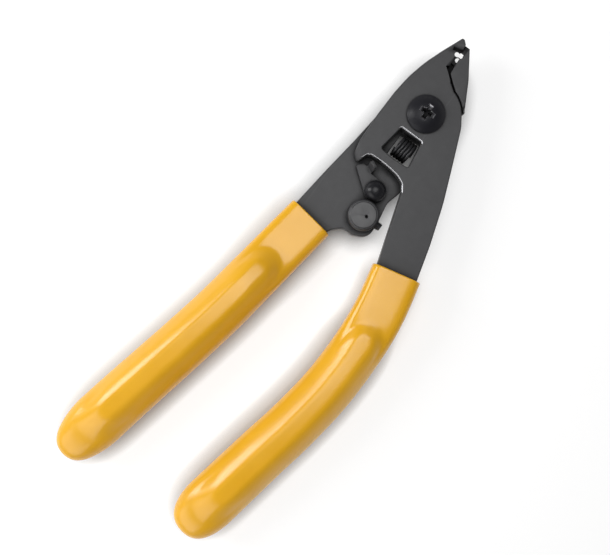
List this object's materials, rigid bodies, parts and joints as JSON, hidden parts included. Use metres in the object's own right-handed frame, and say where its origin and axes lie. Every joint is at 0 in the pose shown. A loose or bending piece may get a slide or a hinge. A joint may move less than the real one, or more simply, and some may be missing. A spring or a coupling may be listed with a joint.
{
  "type": "fibre stripper",
  "caption": "Hand fibre stripper: two crossing black steel levers with yellow grips, a return spring, a lock lever and a set stop screw.",
  "frame": {"origin": "on the pivot screw's axis, at the screw's end and the nut's underside, in the plane that the tool lies on", "axes": "+Y towards the jaws, +Z along the pivot axis towards the screw's head, +X towards the bowed handle's side"},
  "size_m": [0.0543, 0.1394, 0.0124],
  "materials": {
    "black_oxide_steel": "satin",
    "yellow_vinyl": "gloss",
    "black_fasteners": "satin",
    "spring_wire": "satin"
  },
  "bodies": {
    "rear_lever": {"rear_blade": "black_oxide_steel", "rear_grip": "yellow_vinyl", "pivot_screw": "black_fasteners", "pivot_nut": "black_fasteners", "return_spring": "spring_wire", "lock_rivet": "black_fasteners", "lock_washer": "spring_wire", "stop_boss": "black_oxide_steel", "stop_screw": "black_fasteners"},
    "front_lever": {"front_blade": "black_oxide_steel", "front_grip": "yellow_vinyl"},
    "lock_arm": {"lock_lever": "black_oxide_steel"}
  },
  "joints": [
    {"name": "handle_hinge", "type": "hinge", "parent": "rear_lever", "child": "front_lever", "pos_m": [0, 0, 0.00775], "axis": [0, 0, 1], "range_deg": [-3.2, 8.3], "deforming": ["return_spring"]},
    {"name": "lock_swing", "type": "hinge", "parent": "rear_lever", "child": "lock_arm", "pos_m": [0.0012, -0.0219, 0.00675], "axis": [0, 0, 1], "range_deg": [-16, 41.5]}
  ],
  "couplings": [
    {"joint": "lock_swing", "follows": "handle_hinge", "ratio": 5}
  ]
}
